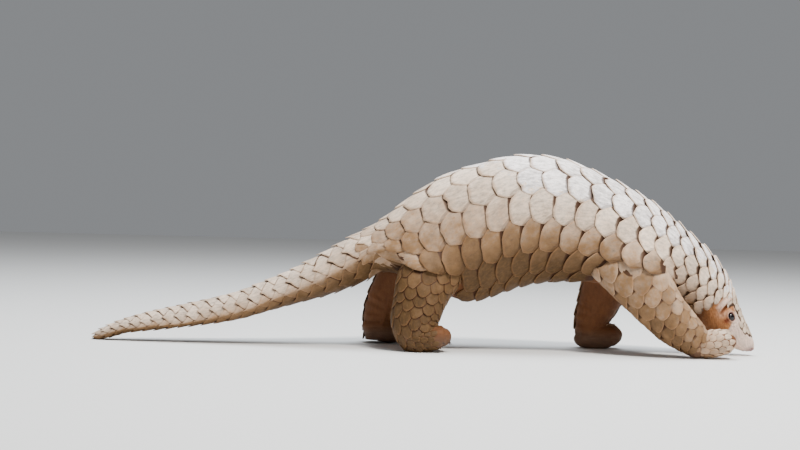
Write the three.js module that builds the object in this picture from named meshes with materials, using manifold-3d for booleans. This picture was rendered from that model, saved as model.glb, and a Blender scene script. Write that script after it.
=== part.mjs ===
// A walking pangolin, head down and tail stretched out behind.
// Millimetres. +X runs toward the nose, +Z is up and Z = 0 is the floor.
import * as THREE from 'three';
import { mergeVertices } from 'three/addons/utils/BufferGeometryUtils.js';
import Module from 'manifold-3d';

const wasm = await Module();
wasm.setup();
const { Manifold } = wasm;

// Driving sizes
const gap = 0.3;
const earRadius = 3.2;
const eyeRadius = 6;
const lidRadius = 1.5;
const lipRadius = 1.3;
const mouthSlit = 0.55;
const weldSize = 0.02;
const legDepth = 2;

// Body stations from nose to tail tip:
// back x, back z, belly x, belly z, half width, edge sharpness, roll in degrees.
const bodyStations = [
  [431, 9, 426, 5.5, 3, 0, 0],
  [430.5, 15, 417.5, 5.5, 7.5, 0, 0],
  [428.5, 23, 406.5, 8, 10.5, 0, 0],
  [424, 34, 395.5, 13.5, 13.5, 0, 0],
  [416.5, 49.5, 380, 24, 17, 0, 0],
  [408, 70, 362.5, 38, 22, 0, 0],
  [401, 89, 346, 51, 25.5, 0, 0],
  [393, 105.5, 334.5, 62.5, 28, 0, 0],
  [371, 133.5, 322, 69.5, 30, 0, 0],
  [344, 157, 305, 75, 36, 0, 0],
  [301.5, 191.5, 254, 82, 46, 0, 0],
  [239, 226.5, 200, 88, 55, 0, 0],
  [160, 253.5, 148, 85, 60, 0, 0],
  [110, 253, 121, 79, 62, 0, 0],
  [68, 242, 98, 70, 63, 0, 0],
  [25, 227, 75, 62, 62, 0, 0],
  [-13.5, 203, 50, 60, 59, 0, 0],
  [-53, 170.5, 2, 78, 52, 0.1, 0],
  [-78, 153, -51, 97, 45, 0.4, 0],
  [-105, 138, -78, 83, 42, 0.5, 2],
  [-152.5, 109, -129, 63, 38, 0.5, 5],
  [-200, 85, -186, 47, 34, 0.5, 10],
  [-249.5, 64.5, -240, 31, 31, 0.5, 15],
  [-300, 50.5, -294, 22.5, 27, 0.5, 18],
  [-351.5, 38.5, -346, 15, 22, 0.5, 17],
  [-391, 27, -386, 9, 16, 0.5, 12],
  [-416.5, 15.5, -412, 1.5, 11, 0.4, 5],
  [-428.5, 8, -426, -0.5, 6, 0.2, 0],
  [-432, 5, -431, 1, 2, 0, 0],
];

// Leg stations from the root down: x, sideways, z, half length, half width.
const legStations = {
  foreleg_right: [[247, 30, 130, 46, 22], [262, 42, 110, 42, 27], [283, 50, 82, 36, 27],
    [300, 55, 60, 31, 25], [318, 57, 42, 28, 24], [334, 58, 29, 24, 21], [348, 58, 17, 19, 18]],
  foreleg_left: [[251, 28, 132, 42, 20], [247, 40, 108, 38, 26], [240, 46, 82, 33, 26],
    [232, 50, 58, 29, 24], [223, 52, 36, 23, 22], [221, 53, 22, 19, 20], [223, 53, 10, 17, 18]],
  hindleg_right: [[20, 26, 130, 44, 24], [9, 40, 104, 41, 29], [-2, 49, 80, 37, 29],
    [-8, 53, 58, 33, 27], [-13, 56, 38, 30, 25], [-11, 57, 20, 29, 24], [-8, 57, 4, 27, 23]],
  hindleg_left: [[0, 26, 128, 42, 24], [-16, 40, 102, 40, 29], [-33, 48, 78, 36, 29],
    [-47, 52, 56, 31, 27], [-55, 55, 37, 27, 25], [-56, 56, 20, 25, 24], [-56, 56, 4, 24, 23]],
};

// Foot stations from heel to toe ends: x, sideways, z, half height, half width.
const hindFootStations = [[-34, 57, 24, 9, 13], [-24, 57, 18, 16, 21], [-8, 57, 16, 18, 25],
  [8, 57, 17, 17, 25], [20, 57, 20, 14, 22], [29, 57, 22, 9, 17], [33, 57, 24, 3, 8]];
const foreFootStations = [[338, 57, 22, 15, 15], [352, 57, 18, 17, 18], [366, 57, 18, 15.5, 19],
  [378, 57, 21, 12.5, 18], [388, 57, 24, 8, 14], [392, 57, 26, 3, 7]];

const skinTint = '#a98a6a';
const hornTint = '#b8a184';
const materials = {
  scale: { color: hornTint, roughness: 0.7, metalness: 0 },
  skin: { color: skinTint, roughness: 0.8, metalness: 0 },
  eye: { color: '#0b0a0c', roughness: 0.08, metalness: 0 },
};

// A smooth curve through rows of numbers, measured along the chord of its path.
function curveThrough(rows, placeOf) {
  const knots = [0];
  for (let i = 1; i < rows.length; i += 1) {
    knots.push(knots[i - 1] + placeOf(rows[i]).distanceTo(placeOf(rows[i - 1])));
  }
  const slope = (i, j, k) => (rows[j][k] - rows[i][k]) / (knots[j] - knots[i]);
  const tangent = (i, k) => {
    if (i === 0) return slope(0, 1, k);
    if (i === rows.length - 1) return slope(i - 1, i, k);
    const before = knots[i] - knots[i - 1];
    const after = knots[i + 1] - knots[i];
    return (slope(i - 1, i, k) * after + slope(i, i + 1, k) * before) / (before + after);
  };
  const at = (along) => {
    let i = 0;
    while (i < rows.length - 2 && along > knots[i + 1]) i += 1;
    const span = knots[i + 1] - knots[i];
    const t = THREE.MathUtils.clamp((along - knots[i]) / span, 0, 1);
    return rows[i].map((start, k) => {
      const end = rows[i + 1][k];
      const a = tangent(i, k) * span;
      const b = tangent(i + 1, k) * span;
      return start + a * t + (3 * (end - start) - 2 * a - b) * t * t
        + (2 * (start - end) + a + b) * t * t * t;
    });
  };
  return { at, knots, length: knots[knots.length - 1] };
}

const bodyCurve = curveThrough(bodyStations,
  (row) => new THREE.Vector3((row[0] + row[2]) / 2, 0, (row[1] + row[3]) / 2));

// A point of the body: angle 0 is the back, a positive angle the left side.
function bodyPoint(along, angle, lift) {
  const [backX, backZ, bellyX, bellyZ, width, edge, roll] = bodyCurve.at(along);
  const centre = new THREE.Vector3((backX + bellyX) / 2, 0, (backZ + bellyZ) / 2);
  const up = new THREE.Vector3(backX - bellyX, 0, backZ - bellyZ);
  const height = up.length() / 2 + lift;
  up.normalize();
  const cosine = Math.cos(angle);
  const rise = height * cosine * Math.abs(cosine) ** edge;
  const sag = 0.08 * (1 - 2 * edge) * cosine;
  const reach = (width + lift) * Math.sin(angle) * (1 - sag);
  const turn = THREE.MathUtils.degToRad(roll);
  const side = new THREE.Vector3(0, Math.cos(turn), 0).addScaledVector(up, Math.sin(turn));
  const top = up.clone().multiplyScalar(Math.cos(turn)).add(new THREE.Vector3(0, -Math.sin(turn), 0));
  return centre.addScaledVector(top, rise).addScaledVector(side, reach);
}

const alongHead = (distance) => distance * bodyCurve.knots[7] / 103;

// How far the bare hide lies below the outline that the scale tips give.
function hideDepth(along) {
  const stops = [[alongHead(12), 0], [alongHead(30), 1.2], [bodyCurve.knots[8], 2],
    [bodyCurve.knots[10], 3], [bodyCurve.knots[18], 2.6], [bodyCurve.knots[20], 2],
    [bodyCurve.knots[25], 1.6], [bodyCurve.length, 0.8]];
  return between(stops, along);
}

// Straight interpolation between pairs of place and value.
function between(stops, place) {
  const next = stops.findIndex((stop) => stop[0] > place);
  if (next === 0) return stops[0][1];
  if (next < 0) return stops[stops.length - 1][1];
  const [low, high] = [stops[next - 1], stops[next]];
  return low[1] + (high[1] - low[1]) * (place - low[0]) / (high[0] - low[0]);
}

function hidePoint(along, angle, lift) {
  return bodyPoint(along, angle, lift - hideDepth(along));
}

// A point of a leg: angle 0 faces outward and a quarter turn faces forward.
function legSurface(rows, sign) {
  const path = (row) => new THREE.Vector3(row[0], sign * row[1], row[2]);
  const curve = curveThrough(rows, path);
  const point = (along, angle, lift) => {
    const row = curve.at(along);
    const ahead = path(curve.at(Math.min(along + 2, curve.length)));
    const behind = path(curve.at(Math.max(along - 2, 0)));
    const axis = ahead.sub(behind).normalize();
    const outward = new THREE.Vector3(0, sign, 0);
    outward.addScaledVector(axis, -outward.dot(axis)).normalize();
    const forward = new THREE.Vector3().crossVectors(outward, axis).multiplyScalar(-sign);
    return path(row).addScaledVector(outward, (row[4] + lift) * Math.cos(angle))
      .addScaledVector(forward, (row[3] + lift) * Math.sin(angle));
  };
  return { point, length: curve.length };
}

// A closed solid from a geometry, with its faces turned outward.
function solidOf(geometry) {
  const bare = new THREE.BufferGeometry();
  bare.setAttribute('position', geometry.getAttribute('position'));
  if (geometry.index) bare.setIndex(geometry.index);
  const welded = mergeVertices(bare, 1e-4);
  const vertProperties = Float32Array.from(welded.getAttribute('position').array);
  const triVerts = Uint32Array.from(welded.index.array);
  const solid = new Manifold(new wasm.Mesh({ numProp: 3, vertProperties, triVerts }));
  if (solid.volume() > 0) return solid;
  return new Manifold(new wasm.Mesh({ numProp: 3, vertProperties, triVerts: triVerts.reverse() }));
}

function warp(geometry, move) {
  const position = geometry.getAttribute('position');
  const point = new THREE.Vector3();
  for (let i = 0; i < position.count; i += 1) {
    point.fromBufferAttribute(position, i);
    position.setXYZ(i, ...move(point).toArray());
  }
  return geometry;
}

// A closed tube over a surface, with its rings at the given places.
function tube(point, places, sides, lift) {
  const rings = places.length - 1;
  const geometry = new THREE.CylinderGeometry(1, 1, 1, sides, rings);
  warp(geometry, (p) => {
    const along = places[Math.round((0.5 - p.y) * rings)];
    const angle = Math.atan2(p.x, p.z);
    const outer = point(along, angle, lift);
    const inner = point(along, 0, lift).add(point(along, Math.PI, lift)).multiplyScalar(0.5);
    return Math.hypot(p.x, p.z) < 0.5 ? inner : outer;
  });
  return solidOf(geometry);
}

function evenly(start, end, count) {
  return Array.from({ length: count + 1 }, (_, i) => start + (end - start) * i / count);
}

// A round bar through the given points.
function bar(points, radius, sides = 6, steps = 2 * (points.length - 1)) {
  const path = new THREE.CatmullRomCurve3(points);
  const frames = path.computeFrenetFrames(steps, false);
  const geometry = new THREE.CylinderGeometry(1, 1, 1, sides, steps);
  warp(geometry, (p) => {
    const step = Math.round((0.5 - p.y) * steps);
    const size = typeof radius === 'function' ? radius(step / steps) : radius;
    return path.getPoint(step / steps).addScaledVector(frames.normals[step], p.x * size)
      .addScaledVector(frames.binormals[step], p.z * size);
  });
  return solidOf(geometry);
}

let seed = 20;
function vary(amount) {
  seed = (seed * 1103515245 + 12345) % 2147483648;
  return 1 + amount * (seed / 1073741824 - 1);
}

function ball(centre, halves, tilt = 0, sides = 12) {
  const geometry = new THREE.SphereGeometry(1, sides, Math.round(sides * 0.6));
  geometry.scale(...halves);
  geometry.rotateY(tilt);
  geometry.translate(...centre);
  return solidOf(geometry);
}

function largest(solid) {
  const pieces = solid.decompose();
  return pieces.reduce((best, piece) => (piece.volume() > best.volume() ? piece : best));
}

// Both sides of a thin plane cut.
function parted(solid, origin, normal) {
  const unit = normal.clone().normalize();
  const offset = origin.dot(unit);
  const ahead = solid.trimByPlane(unit.toArray(), offset + gap / 2);
  const behind = solid.trimByPlane(unit.clone().negate().toArray(), -offset + gap / 2);
  return [ahead, behind];
}

function bodyCut(solid, along) {
  const middle = bodyPoint(along, 0, 0).add(bodyPoint(along, Math.PI, 0)).multiplyScalar(0.5);
  const up = bodyPoint(along, 0, 0).sub(middle);
  const across = bodyPoint(along, Math.PI / 2, 0).sub(middle);
  return parted(solid, middle, new THREE.Vector3().crossVectors(across, up));
}

// The space that a leg fills below its slanted root plane, grown by a margin.
function legSpace(sign, front, back, inner, low, outer, high, margin) {
  const slant = new THREE.Vector2(high - low, outer - inner).normalize().multiplyScalar(margin);
  const outline = [
    [inner - margin, -20],
    [inner - margin, low + margin],
    [inner, low + margin * 1.4],
    [outer - slant.x, high + slant.y],
    [140, high + slant.y],
    [140, -20],
  ].map(([y, z]) => new THREE.Vector2(sign * y, z));
  const shape = new THREE.Shape(sign > 0 ? outline : outline.reverse());
  const depth = front - back + 2 * margin;
  const geometry = new THREE.ExtrudeGeometry(shape, { depth, bevelEnabled: false });
  warp(geometry, (p) => new THREE.Vector3(p.z + back - margin, p.x, p.y));
  return solidOf(geometry);
}

// A scaled hide as one closed shell. Each scale is a plate in an offset row: its root lies
// under the free edges of those in front, and its own free edge stands up by the depth.
function shell({ point, start, end, rows, pitchAt, depthAt, isPlate, lean, spike, pointed }) {
  const places = [start];
  while (places[places.length - 1] < end) {
    const last = places[places.length - 1];
    places.push(last + pitchAt(last) / 2);
  }
  const count = places.length;
  const first = places[1] - places[0];
  const final = places[count - 1] - places[count - 2];
  const place = (ring) => {
    if (ring < 0) return places[0] + ring * first;
    return ring < count ? places[ring] : places[count - 1] + (ring - count + 1) * final;
  };
  const step = (ring) => place(ring + 1) - place(ring);
  const spots = new Map();
  const spotAt = (kind, ring, row) => {
    const turn = (row + rows) % rows;
    const key = `${kind} ${ring} ${turn}`;
    if (!spots.has(key)) {
      const signed = turn > rows / 2 ? turn - rows : turn;
      const along = kind === 'tip' ? place(ring) + 1.24 * step(ring) * vary(0.05)
        : place(ring) - 0.3 * step(ring) * vary(0.2);
      const across = kind === 'tip' ? turn + lean(signed)
        : turn + (Math.abs(ring) % 2 === turn % 2 ? 0.59 : 0.41) * vary(0.05);
      spots.set(key, { ring, along, angle: across / rows * Math.PI * 2, levels: new Map() });
    }
    return spots.get(key);
  };
  const share = { tip: 0, rear: 0.1, side: 0.5, root: 1 };
  const corners = [];
  const cornerAt = (spot, level) => {
    const key = Math.round(level * 1000);
    if (!spot.levels.has(key)) {
      spot.levels.set(key, corners.length);
      corners.push({ ring: spot.ring, at: point(spot.along, spot.angle, level) });
    }
    return { spot, key };
  };
  const signedRow = (row) => (row > rows / 2 ? row - rows : row);
  const raisedAt = (ring, row) => ring > 1 && ring < count - 2
    && isPlate(place(ring), signedRow((row + rows) % rows));
  const cellAt = (ring, row) => {
    const raised = raisedAt(ring, row);
    const lift = raised ? spike(signedRow(row)) * vary(0.3) : 0;
    const corner = (spot, part) => {
      const level = -depthAt(spot.along) * (raised ? share[part] : 1);
      return cornerAt(spot, part === 'tip' ? level + lift : level);
    };
    return {
      tip: pointed && raised ? corner(spotAt('tip', ring, row), 'tip') : null,
      rearUp: corner(spotAt('side', ring + 1, row), 'rear'),
      sideUp: corner(spotAt('side', ring, row), 'side'),
      rootUp: corner(spotAt('side', ring - 1, row), 'root'),
      dent: pointed && raisedAt(ring - 2, row) ? corner(spotAt('tip', ring - 2, row), 'root') : null,
      rootDown: corner(spotAt('side', ring - 1, row - 1), 'root'),
      sideDown: corner(spotAt('side', ring, row - 1), 'side'),
      rearDown: corner(spotAt('side', ring + 1, row - 1), 'rear'),
    };
  };
  const cells = new Map();
  for (let ring = 0; ring < count; ring += 1) {
    for (let row = ring % 2; row < rows; row += 2) cells.set(`${ring} ${row}`, cellAt(ring, row));
  }
  const faces = [];
  const addFan = (loop) => {
    const ids = loop.filter(Boolean).map((corner) => corner.spot.levels.get(corner.key));
    for (let i = 1; i < ids.length - 1; i += 1) faces.push([ids[0], ids[i], ids[i + 1]]);
  };
  const ladder = (spot, from, to) => {
    const keys = [...spot.levels.keys()].filter((key) => (key - from) * (key - to) <= 0);
    return keys.sort((a, b) => (to - from) * (a - b)).map((key) => spot.levels.get(key));
  };
  const addWall = (x, y, otherX, otherY) => {
    const left = ladder(x.spot, x.key, otherX.key);
    const right = ladder(y.spot, y.key, otherY.key);
    let [a, b] = [0, 0];
    while (a < left.length - 1 || b < right.length - 1) {
      const leftTurn = a < left.length - 1 && (a <= b || b === right.length - 1);
      faces.push([right[b], left[a], leftTurn ? left[a + 1] : right[b + 1]]);
      if (leftTurn) a += 1;
      else b += 1;
    }
  };
  for (const [key, cell] of cells) {
    const [ring, row] = key.split(' ').map(Number);
    addFan([cell.rearUp, cell.sideUp, cell.rootUp]);
    addFan([cell.rearDown, cell.rootDown, cell.sideDown]);
    addFan([cell.tip, cell.rearUp, cell.rootUp, cell.dent, cell.rootDown, cell.rearDown]);
    const behind = cells.get(`${ring + 2} ${row}`);
    const above = cells.get(`${ring + 1} ${(row + 1) % rows}`);
    const below = cells.get(`${ring + 1} ${(row + rows - 1) % rows}`);
    if (behind && cell.tip) {
      addWall(cell.tip, cell.rearUp, behind.dent, behind.rootUp);
      addWall(cell.rearDown, cell.tip, behind.rootDown, behind.dent);
    } else if (behind) {
      addWall(cell.rearDown, cell.rearUp, behind.rootDown, behind.rootUp);
    }
    if (above) addWall(cell.rearUp, cell.sideUp, above.sideDown, above.rootDown);
    if (below) addWall(cell.sideDown, cell.rearDown, below.rootUp, below.sideUp);
  }
  const open = new Map();
  for (const [a, b, c] of faces) {
    for (const [from, to] of [[a, b], [b, c], [c, a]]) {
      if (!open.delete(`${to} ${from}`)) open.set(`${from} ${to}`, [from, to]);
    }
  }
  const middleOf = (along) => point(along, 0, 0).add(point(along, Math.PI, 0)).multiplyScalar(0.5);
  for (const [from, to] of open.values()) {
    faces.push([to, from, corners.length + (corners[from].ring < 2 ? 0 : 1)]);
  }
  const points = corners.map((corner) => corner.at);
  points.push(middleOf(place(-1)), middleOf(place(count)));
  const geometry = new THREE.BufferGeometry().setFromPoints(points);
  geometry.setIndex(faces.flat());
  return solidOf(geometry);
}

// Head
const headEnd = bodyCurve.knots[7] + 6;
const pitchStops = [[0, 11], [alongHead(22), 11], [bodyCurve.knots[7], 13],
  [bodyCurve.knots[9], 18], [bodyCurve.knots[11], 26], [bodyCurve.knots[15], 28],
  [bodyCurve.knots[18], 24]];
const bodyRows = 14;
const lowestRow = 6;
let body = shell({
  point: bodyPoint,
  start: 7,
  end: bodyCurve.knots[18] + 24,
  rows: bodyRows,
  pitchAt: (along) => between(pitchStops, along),
  depthAt: hideDepth,
  isPlate: (along, row) => {
    const reach = between([[alongHead(20), -1], [alongHead(22), 1], [alongHead(78), 2],
      [alongHead(83), 3], [alongHead(87), 4], [alongHead(92), 6]], along);
    return Math.abs(row) <= Math.min(reach, lowestRow);
  },
  lean: (row) => Math.sign(row) * Math.min(Math.abs(row), 3) * 0.04,
  spike: () => 0,
  pointed: false,
});
const tailPitch = [[bodyCurve.knots[18], 24], [bodyCurve.knots[21], 18], [bodyCurve.knots[24], 15],
  [bodyCurve.length, 11]];
const tail = shell({
  point: bodyPoint,
  start: bodyCurve.knots[18] - 34,
  end: bodyCurve.length - 10,
  rows: 8,
  pitchAt: (along) => between(tailPitch, along),
  depthAt: hideDepth,
  isPlate: () => true,
  lean: () => 0,
  spike: (row) => (Math.abs(row) === 2 ? 1.5 : 0),
  pointed: true,
});

const degrees = THREE.MathUtils.degToRad;
const eyes = {};
const ears = {};
const adds = [];
const cuts = [];
for (const [name, sign] of [['right', -1], ['left', 1]]) {
  const seat = alongHead(56.2);
  const look = degrees(72) * sign;
  const centre = hidePoint(seat, look, -3.6);
  const ring = Array.from({ length: 9 }, (_, i) => {
    const turn = i / 8 * Math.PI * 2;
    return hidePoint(seat + 6.6 * Math.cos(turn), look + 0.27 * Math.sin(turn), 0.1);
  });
  adds.push(bar(ring, lidRadius, 4, 12));
  cuts.push(ball(centre.toArray(), Array(3).fill(eyeRadius + gap), 0, 12));
  eyes[name] = ball(centre.toArray(), Array(3).fill(eyeRadius), 0, 12);
  const rim = Array.from({ length: 6 }, (_, i) => {
    const sweep = i / 5;
    const arch = Math.sin(sweep * Math.PI);
    return hidePoint(alongHead(75 + 2.5 * arch - 2 * sweep), degrees(42 + 53 * sweep) * sign, 1);
  });
  const fullness = (t) => 0.45 + 0.55 * Math.sin(t * Math.PI);
  ears[name] = bar(rim, (t) => earRadius * fullness(t), 6, 6);
  cuts.push(bar(rim, (t) => earRadius * fullness(t) + gap, 6, 6));
  cuts.push(ball(bodyPoint(alongHead(71.5), degrees(70) * sign, 0.5).toArray(), [4, 3, 4], 0, 8));
  cuts.push(ball(bodyPoint(alongHead(3), degrees(78) * sign, 0.3).toArray(), [1.2, 2.2, 2], 0, 8));
}
const mouth = [[30, -128], [18, -130], [9, -135], [5, -155], [4.4, 180], [5, 155], [9, 135],
  [18, 130], [30, 128]];
const lipPath = mouth.map(([along, angle]) => bodyPoint(alongHead(along), degrees(angle), -0.6));
const slitPath = mouth.map(([along, angle]) => bodyPoint(alongHead(along), degrees(angle), 0.3));
adds.push(bar(lipPath, lipRadius, 4, 10));
cuts.push(bar(slitPath, mouthSlit, 3, 10));

// Legs and feet
const legs = {};
for (const [name, rows] of Object.entries(legStations)) {
  const sign = name.endsWith('left') ? 1 : -1;
  const surface = legSurface(rows, sign);
  legs[name] = { sign, surface };
  const fore = name.startsWith('fore');
  const pitchStop = [[20, fore ? 26 : 25], [surface.length, fore ? 16 : 21]];
  adds.push(shell({
    point: surface.point,
    start: 24,
    end: surface.length - 12,
    rows: 10,
    pitchAt: (along) => between(pitchStop, along),
    depthAt: () => legDepth,
    isPlate: (along, row) => Math.abs(row) <= 3 && along > 36,
    lean: () => 0,
    spike: () => 0,
    pointed: true,
  }));
}

// A toe that narrows into its claw, and the claw bends down toward its tip.
function toeAndClaw(root, heading, drop, toe, claw) {
  const reach = toe.length + claw.length;
  const points = [0, 1, 2, 3].map((i) => root.clone().addScaledVector(heading, reach * i / 3)
    .add(new THREE.Vector3(0, 0, -drop * (i / 3) ** 2)));
  const knuckle = toe.length / reach;
  const radius = (t) => (t < knuckle ? toe.radius
    : claw.radius * (1 - 0.85 * ((t - knuckle) / (1 - knuckle)) ** 1.5));
  return bar(points, radius, 5, 4);
}

function footRows(rows, shift, turn) {
  return rows.map(([x, y, ...others]) => [x + shift, y + turn * x, ...others]);
}

function hindFoot(shift, sign) {
  const surface = legSurface(footRows(hindFootStations, shift, 0), sign);
  adds.push(tube(surface.point, evenly(0, surface.length, 5), 9, 0));
  for (let i = 0; i < 5; i += 1) {
    const spread = (i - 2) / 2;
    const toe = new THREE.Vector3(19 + shift - 8 * spread ** 2, sign * 57 + spread * 17, 23);
    const heading = new THREE.Vector3(1, 0.2 * spread, 0.15).normalize();
    adds.push(toeAndClaw(toe, heading, 5, { length: 9, radius: 6.5 }, { length: 11, radius: 3.4 }));
  }
  return surface;
}

function foreFoot(shiftX, shiftZ, sideways, sign) {
  const rows = foreFootStations.map(([x, y, z, ...sizes]) =>
    [x + shiftX, y + sideways, z + shiftZ, ...sizes]);
  const surface = legSurface(rows, sign);
  adds.push(tube(surface.point, evenly(0, surface.length, 5), 10, 0));
  adds.push(ball([346 + shiftX, sign * (57 + sideways), 12], [17, 17, 15], 0, 9));
  for (let i = 0; i < 5; i += 1) {
    const spread = (i - 2) / 2;
    const size = 1 - 0.45 * Math.abs(spread);
    const knuckle = new THREE.Vector3(387 + shiftX - 5 * spread ** 2,
      sign * (57 + sideways) + spread * 13, 24 + shiftZ);
    adds.push(toeAndClaw(knuckle, new THREE.Vector3(-0.62, 0, -0.78), -4,
      { length: 6, radius: 5.5 }, { length: 12 + 9 * size, radius: 3.4 * size + 0.8 }));
  }
  return surface;
}

const feet = {
  hindfoot_right: hindFoot(0, -1),
  hindfoot_left: hindFoot(-46, 1),
  forefoot_right: foreFoot(0, 0, 0, -1),
  forefoot_left: foreFoot(-128, -4, -5, 1),
};

body = Manifold.union([body, ...adds]).subtract(Manifold.union(cuts));
body = body.trimByPlane([0, 0, 1], 0);

// Division into named parts
const parts = {};
const legRooms = {
  foreleg_right: [-1, 400, 180, 28, 60, 78, 102],
  foreleg_left: [1, 300, 180, 26, 58, 74, 102],
  hindleg_right: [-1, 48, -64, 20, 64, 74, 112],
  hindleg_left: [1, 24, -110, 20, 64, 74, 116],
};
for (const [name, room] of Object.entries(legRooms)) {
  legs[name].solid = body.intersect(legSpace(...room, 0));
}
let tailSide = tail.trimByPlane([0, 0, 1], 0);
for (const room of Object.values(legRooms)) {
  body = body.subtract(legSpace(...room, gap));
  tailSide = tailSide.subtract(legSpace(...room, gap));
}

const up = new THREE.Vector3(0, 0, 1);
const ankles = {
  foreleg_right: [new THREE.Vector3(337, 0, 27), new THREE.Vector3(-0.75, 0, 0.66)],
  foreleg_left: [new THREE.Vector3(223, 0, 30), up],
  hindleg_right: [new THREE.Vector3(0, 0, 33), up],
  hindleg_left: [new THREE.Vector3(0, 0, 33), up],
};
for (const [name, [origin, normal]] of Object.entries(ankles)) {
  const [leg, foot] = parted(legs[name].solid, origin, normal);
  parts[name] = leg;
  parts[name.replace('leg', 'foot')] = foot;
}

const cutPlaces = [headEnd, bodyCurve.knots[9] + 8, bodyCurve.knots[18] - 4,
  bodyCurve.knots[21], bodyCurve.knots[23] + 30];
let rest;
[parts.head, rest] = bodyCut(body, cutPlaces[0]);
[parts.neck, rest] = bodyCut(rest, cutPlaces[1]);
[parts.torso] = bodyCut(rest, cutPlaces[2]);
[, rest] = bodyCut(tailSide, cutPlaces[2]);
[parts.tail_base, rest] = bodyCut(rest, cutPlaces[3]);
[parts.tail_middle, parts.tail_tip] = bodyCut(rest, cutPlaces[4]);

for (const side of ['right', 'left']) {
  parts[`eye_${side}`] = eyes[side];
  parts[`ear_${side}`] = ears[side];
}

const group = new THREE.Group();
for (const [name, solid] of Object.entries(parts)) {
  const mesh = largest(solid.simplify(weldSize)).getMesh();
  const geometry = new THREE.BufferGeometry();
  const place = new Float32Array(mesh.numVert * 3);
  for (let i = 0; i < mesh.numVert; i += 1) {
    for (let k = 0; k < 3; k += 1) place[i * 3 + k] = mesh.vertProperties[i * mesh.numProp + k];
  }
  geometry.setAttribute('position', new THREE.BufferAttribute(place, 3));
  geometry.setIndex(Array.from(mesh.triVerts));
  const kind = name.startsWith('eye') ? 'eye' : /foot|ear/.test(name) ? 'skin' : 'scale';
  const node = new THREE.Mesh(geometry, new THREE.MeshStandardMaterial(materials[kind]));
  node.name = name;
  group.add(node);
}

export default group;
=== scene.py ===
import math

import bmesh
import bpy
import numpy as np
from mathutils import Matrix, Vector
from mathutils import noise as noiseKit
from mathutils.kdtree import KDTree


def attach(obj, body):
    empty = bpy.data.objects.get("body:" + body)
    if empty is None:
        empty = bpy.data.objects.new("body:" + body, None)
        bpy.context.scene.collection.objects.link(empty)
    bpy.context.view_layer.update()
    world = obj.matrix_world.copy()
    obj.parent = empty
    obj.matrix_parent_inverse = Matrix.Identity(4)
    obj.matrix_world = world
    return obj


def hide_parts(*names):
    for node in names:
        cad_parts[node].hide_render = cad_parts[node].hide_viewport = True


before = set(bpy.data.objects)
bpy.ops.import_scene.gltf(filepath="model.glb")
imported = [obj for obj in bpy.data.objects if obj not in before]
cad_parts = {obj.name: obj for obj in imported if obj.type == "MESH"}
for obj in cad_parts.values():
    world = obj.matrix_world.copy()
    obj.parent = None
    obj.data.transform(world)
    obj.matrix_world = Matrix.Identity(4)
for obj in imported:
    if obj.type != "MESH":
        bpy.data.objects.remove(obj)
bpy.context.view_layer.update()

mm = 0.001
fullTurn = 2 * math.pi
floorGap = 0.0002  # scales and claws stay this far above the floor
headLength = 103  # from the snout to the back of the skull
bellyFull = 0.08  # how much wider the body is below its middle than above
draws = np.random.default_rng(7)

# The body in millimetres, nose to tail tip:
# back x, back z, belly x, belly z, half width, edge sharpness, roll in degrees
bodyStations = [
    (431, 9, 426, 5.5, 3, 0, 0),
    (430.5, 15, 417.5, 5.5, 7.5, 0, 0),
    (428.5, 23, 406.5, 8, 10.5, 0, 0),
    (424, 34, 395.5, 13.5, 13.5, 0, 0),
    (416.5, 49.5, 380, 24, 17, 0, 0),
    (408, 70, 362.5, 38, 22, 0, 0),
    (401, 89, 346, 51, 25.5, 0, 0),
    (393, 105.5, 334.5, 62.5, 28, 0, 0),
    (371, 133.5, 322, 69.5, 30, 0, 0),
    (344, 157, 305, 75, 36, 0, 0),
    (301.5, 191.5, 254, 82, 46, 0, 0),
    (239, 226.5, 200, 88, 55, 0, 0),
    (160, 253.5, 148, 85, 60, 0, 0),
    (110, 253, 121, 79, 62, 0, 0),
    (68, 242, 98, 70, 63, 0, 0),
    (25, 227, 75, 62, 62, 0, 0),
    (-13.5, 203, 50, 60, 59, 0, 0),
    (-53, 170.5, 2, 78, 52, 0.1, 0),
    (-78, 153, -51, 97, 45, 0.4, 0),
    (-105, 138, -78, 83, 42, 0.5, 2),
    (-152.5, 109, -129, 63, 38, 0.5, 5),
    (-200, 85, -186, 47, 34, 0.5, 10),
    (-249.5, 64.5, -240, 31, 31, 0.5, 15),
    (-300, 50.5, -294, 22.5, 27, 0.5, 18),
    (-351.5, 38.5, -346, 15, 22, 0.5, 17),
    (-391, 27, -386, 9, 16, 0.5, 12),
    (-416.5, 15.5, -412, 1.5, 11, 0.4, 5),
    (-428.5, 8, -426, -0.5, 6, 0.2, 0),
    (-432, 5, -431, 1, 2, 0, 0),
]

# Legs from the root down: x, sideways, z, half length, half width
legStations = {
    "foreleg_right": [(247, 30, 130, 46, 22), (262, 42, 110, 42, 27), (283, 50, 82, 36, 27),
                      (300, 55, 60, 31, 25), (318, 57, 42, 28, 24), (334, 58, 29, 24, 21),
                      (348, 58, 17, 19, 18)],
    "foreleg_left": [(251, 28, 132, 42, 20), (247, 40, 108, 38, 26), (240, 46, 82, 33, 26),
                     (232, 50, 58, 29, 24), (223, 52, 36, 23, 22), (221, 53, 22, 19, 20),
                     (223, 53, 10, 17, 18)],
    "hindleg_right": [(20, 26, 130, 44, 24), (9, 40, 104, 41, 29), (-2, 49, 80, 37, 29),
                      (-8, 53, 58, 33, 27), (-12, 56, 38, 31, 25), (-8, 57, 20, 27, 24),
                      (2, 57, 4, 17, 20)],
    "hindleg_left": [(0, 26, 128, 42, 24), (-16, 40, 102, 40, 29), (-33, 48, 78, 36, 29),
                     (-47, 52, 56, 31, 27), (-55, 55, 37, 27, 25), (-56, 56, 20, 25, 24),
                     (-56, 56, 4, 24, 23)],
}

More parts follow.
